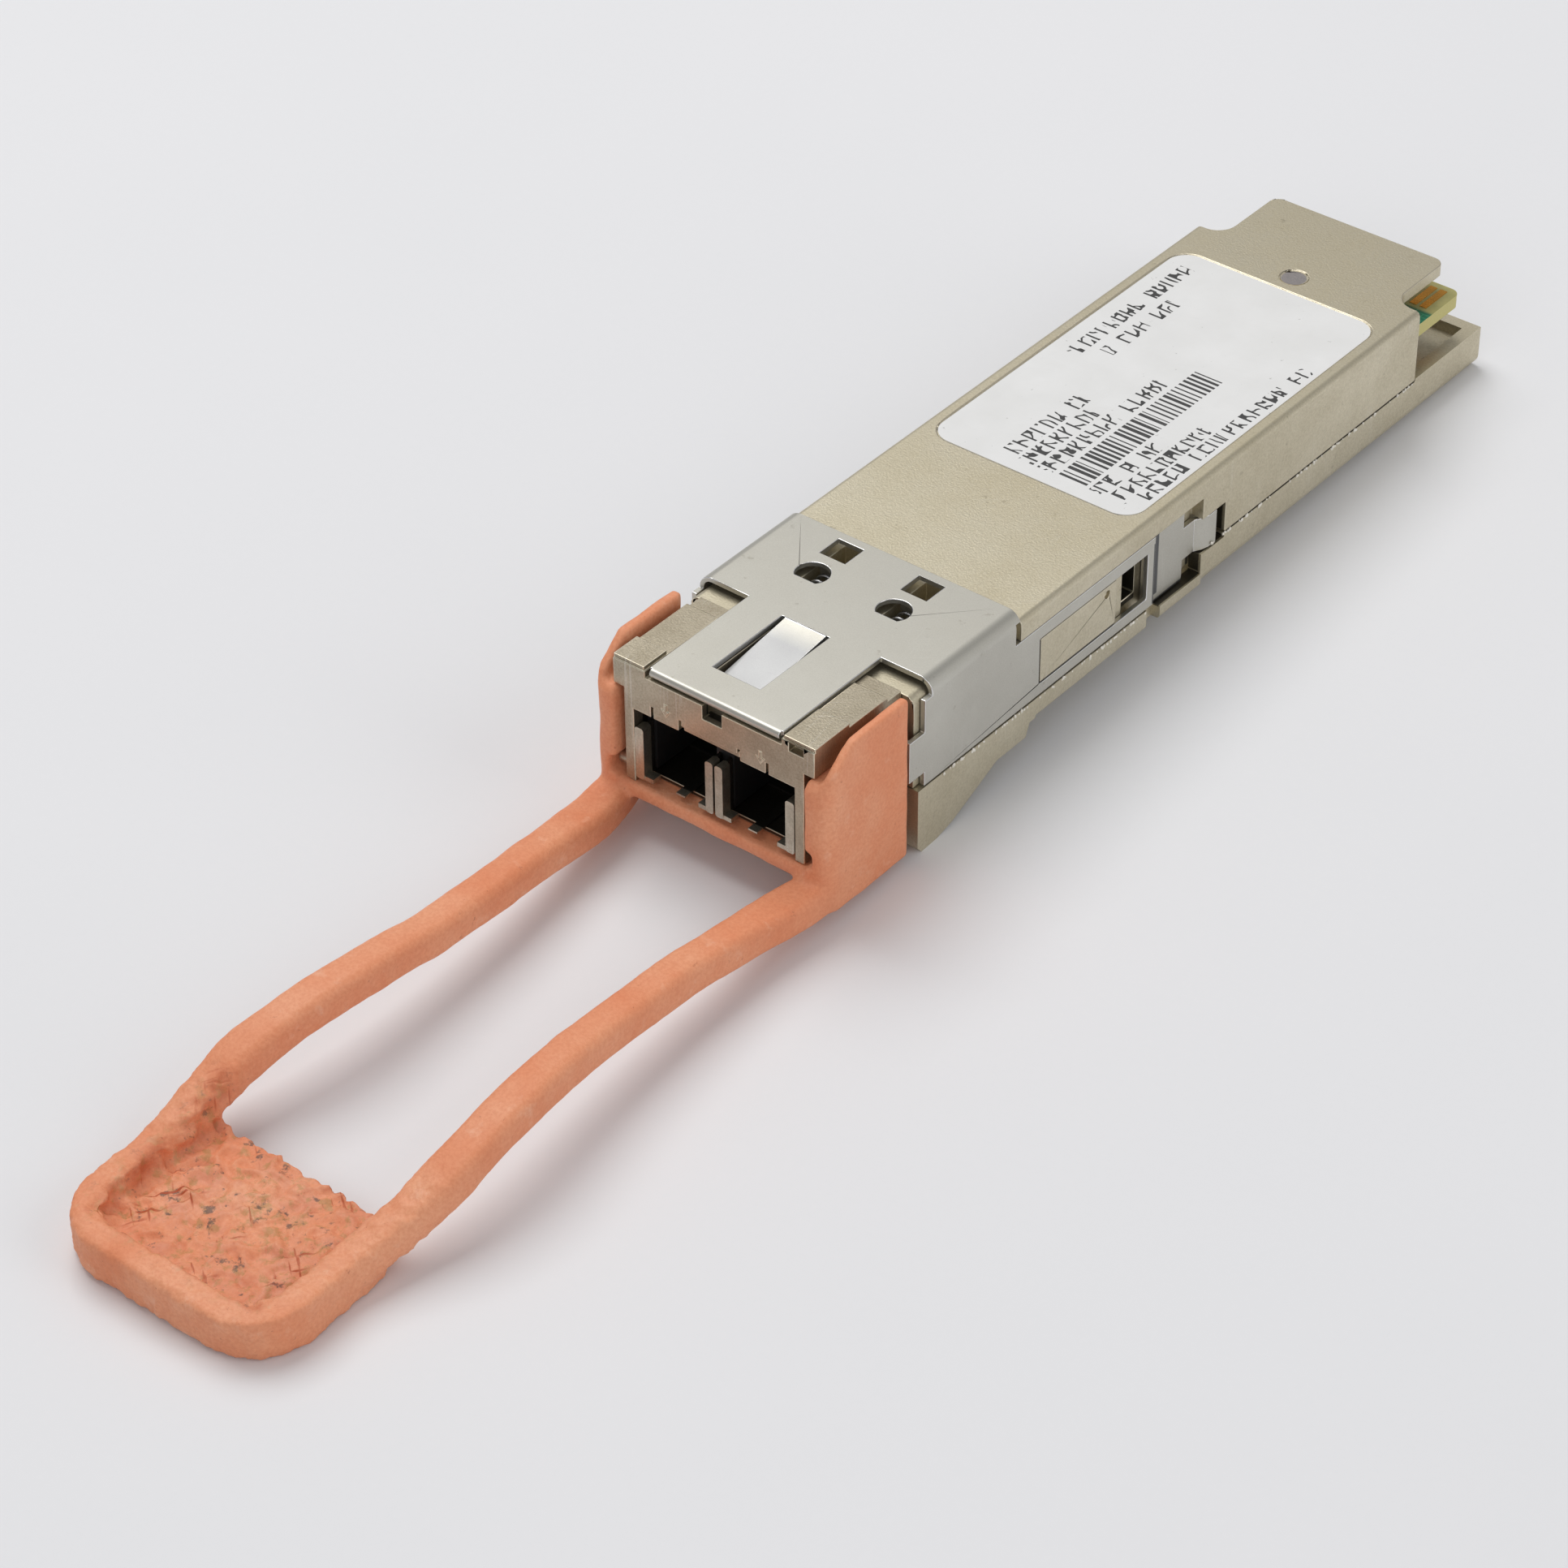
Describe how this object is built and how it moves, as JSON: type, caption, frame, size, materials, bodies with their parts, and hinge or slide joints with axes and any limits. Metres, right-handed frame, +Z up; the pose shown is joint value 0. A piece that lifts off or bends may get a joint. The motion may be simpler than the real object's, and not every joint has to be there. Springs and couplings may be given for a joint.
{
  "type": "optical transceiver module",
  "caption": "Pluggable duplex fibre-optic transceiver: nickel-plated shells round a card-edge board, a latch slider with flared tips, and a moulded pull tab that draws it forward to unlatch.",
  "frame": {"origin": "middle of the flat underside that slides in the cage, at the latch shoulder plane", "axes": "+X right seen from the ports, +Y the way the module goes into its cage, +Z up out of the label side"},
  "size_m": [0.0197, 0.1203, 0.0157],
  "materials": {
    "housing_nickel": "fine-grained nickel plating over a zinc casting, lightly scuffed",
    "nose_nickel": "nickel plating over a zinc casting, worn bright on its edges",
    "port_strip": "thin bent strip, worn bright",
    "stainless_sheet": "satin stainless sheet with bright bent edges",
    "spring_steel": "drawn wire",
    "screw_steel": "plated steel",
    "pull_tab_elastomer": "matte salmon moulding with grime in its recess",
    "label_film": null,
    "black_plastic": "matte black moulding",
    "ceramic_sleeve": "smooth zirconia",
    "gold_package": "gold plated Kovar",
    "flex_circuit": "polyimide film over copper",
    "board_laminate": "green solder mask over glass laminate",
    "contact_gold": "hard gold plating",
    "chip_epoxy": "moulded epoxy",
    "passive_ceramic": "small ceramic parts with tinned ends",
    "thermal_gap_pad": "soft gap filler",
    "gasket_elastomer": "conductive elastomer"
  },
  "bodies": {
    "housing": {"top_housing": "housing_nickel", "bottom_housing": "housing_nickel", "receptacle_nose": "nose_nickel", "nose_pins": "nose_nickel", "left_port_clip": "port_strip", "right_port_clip": "port_strip", "receptacle_insert": "black_plastic", "transmit_sleeve": "ceramic_sleeve", "receive_sleeve": "ceramic_sleeve", "transmit_package": "gold_package", "receive_package": "gold_package", "transmit_flex": "flex_circuit", "receive_flex": "flex_circuit", "shield_gasket": "gasket_elastomer", "circuit_board": "board_laminate", "top_contacts": "contact_gold", "bottom_contacts": "contact_gold", "driver_chip": "chip_epoxy", "receiver_chip": "chip_epoxy", "controller_chip": "chip_epoxy", "board_passives": "passive_ceramic", "driver_thermal_pad": "thermal_gap_pad", "receiver_thermal_pad": "thermal_gap_pad", "label": "label_film", "housing_screws": "screw_steel", "left_return_spring": "spring_steel", "right_return_spring": "spring_steel"},
    "slider": {"latch_slider": "stainless_sheet", "pull_tab": "pull_tab_elastomer"}
  },
  "joints": [
    {"name": "tab_pull", "type": "slide", "parent": "housing", "child": "slider", "axis": [0, -1, 0], "range_m": [0, 0.0026], "stiffness_N_per_m": 300, "springref_m": -0.002, "deforming": ["left_return_spring", "right_return_spring"]}
  ]
}
